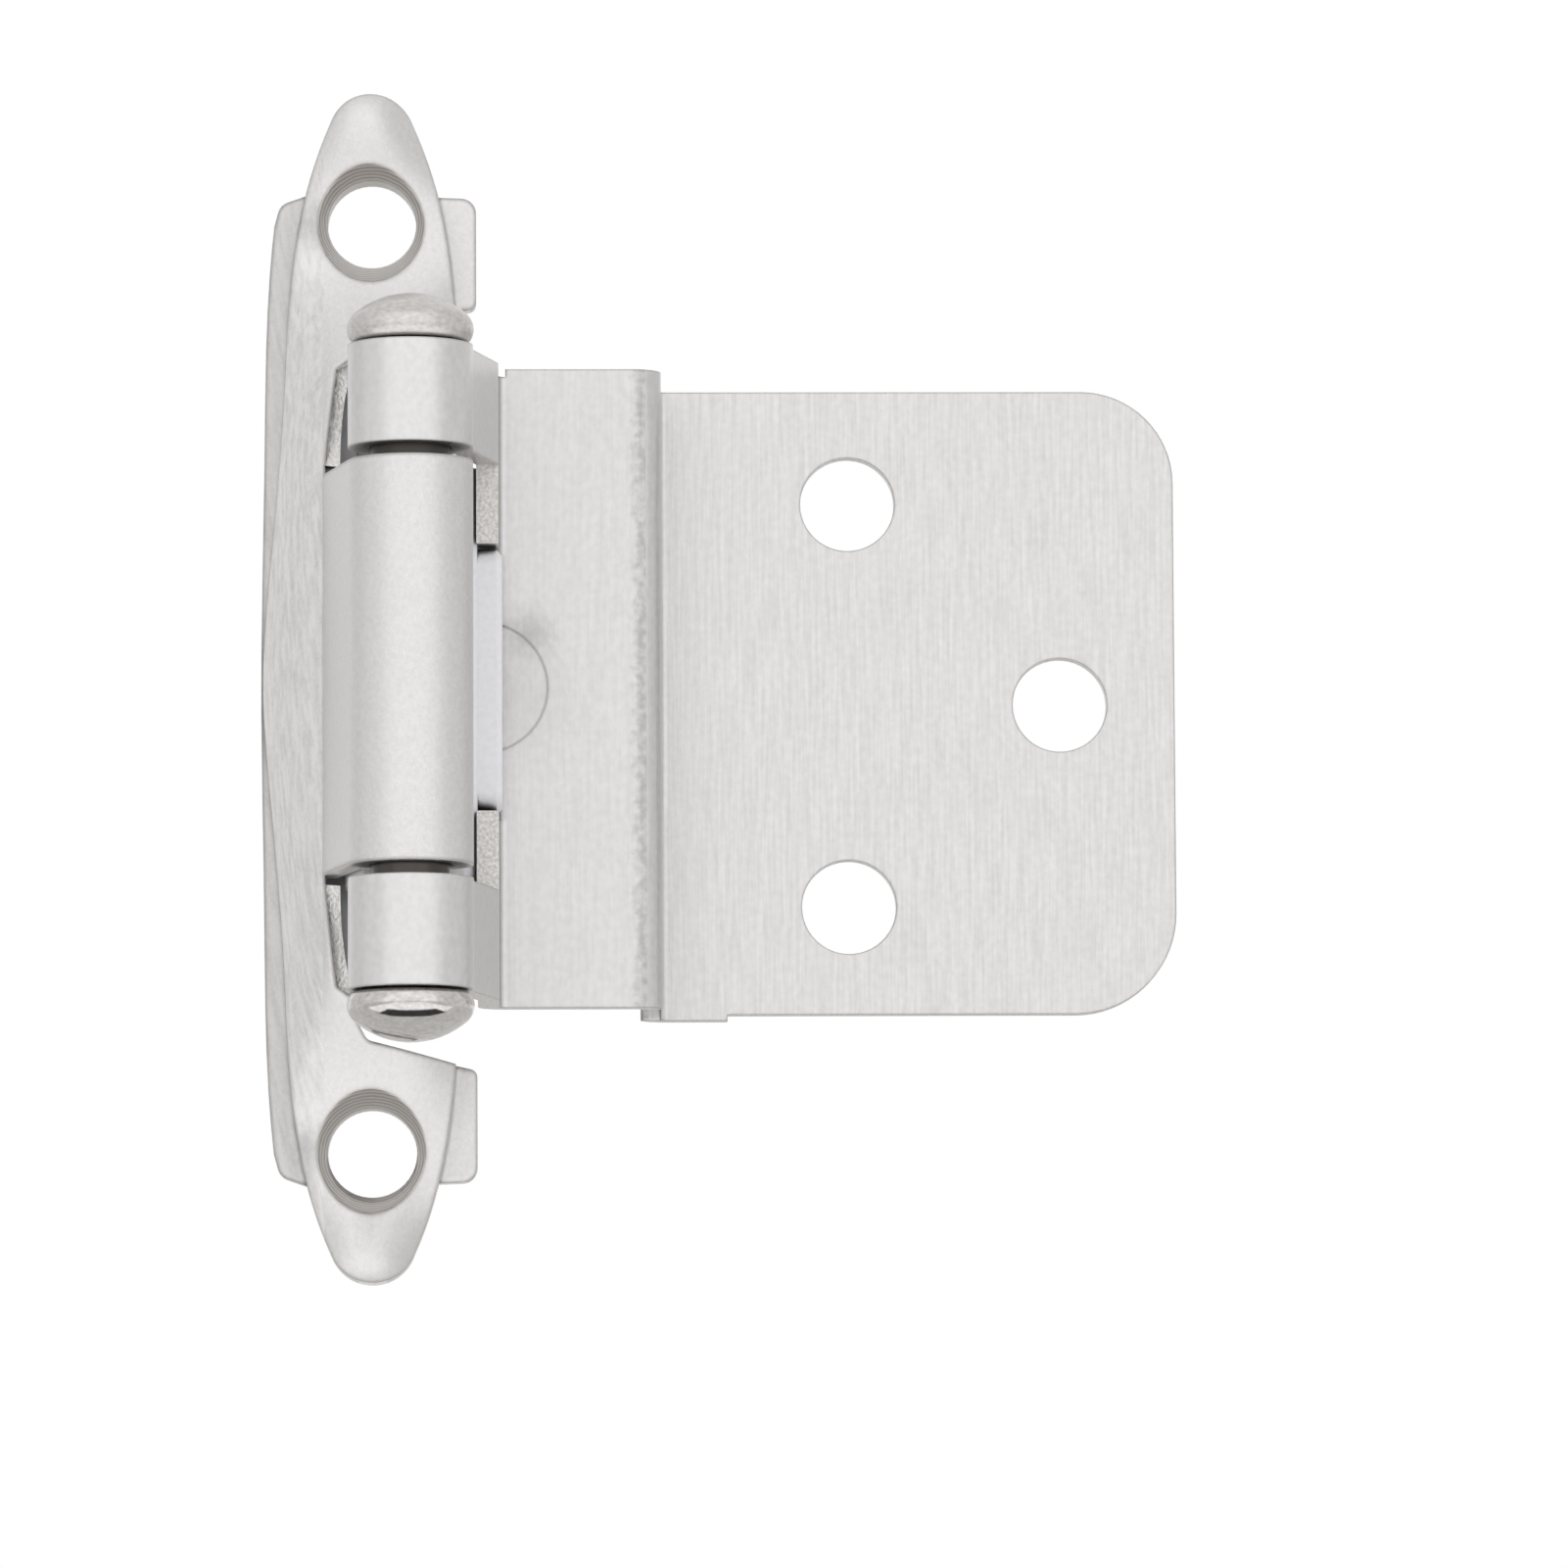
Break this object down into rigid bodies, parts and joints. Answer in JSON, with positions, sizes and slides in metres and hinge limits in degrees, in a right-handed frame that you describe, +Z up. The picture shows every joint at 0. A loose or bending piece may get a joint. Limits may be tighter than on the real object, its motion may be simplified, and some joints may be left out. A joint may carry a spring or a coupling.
{
  "type": "cabinet hinge",
  "caption": "Face-mount self-closing cabinet hinge with a spear-ended frame leaf, a rolled barrel on a pin and a stepped door leaf for a lipped inset door.",
  "frame": {"origin": "midway between the two frame screw holes, on the plane of the frame leaf's back that meets the cabinet face", "axes": "+X to the door side, +Y back into the cabinet, +Z up along the hinge pin"},
  "size_m": [0.0541, 0.0269, 0.0698],
  "materials": {
    "satin_nickel": "satin nickel plate on stamped steel, fine grain",
    "brushed_nickel": "satin nickel plate on steel sheet, brushed upright",
    "bright_nickel": "burnished nickel plate",
    "white_nylon": "moulded white nylon",
    "spring_steel": "tempered spring steel strip",
    "plain_steel": "bright zinc plated sheet"
  },
  "bodies": {
    "frame": {"frame_leaf": "satin_nickel", "hinge_pin": "bright_nickel", "spring_retainer": "plain_steel", "leaf_spring": "spring_steel"},
    "door": {"door_leaf": "brushed_nickel", "nylon_cam": "white_nylon"}
  },
  "joints": [
    {"name": "door_swing", "type": "hinge", "parent": "frame", "child": "door", "pos_m": [0.00235, -0.014, 0], "axis": [0, 0, -1], "range_deg": [0, 180], "stiffness_Nm_per_rad": 0.01, "deforming": ["leaf_spring"]}
  ]
}
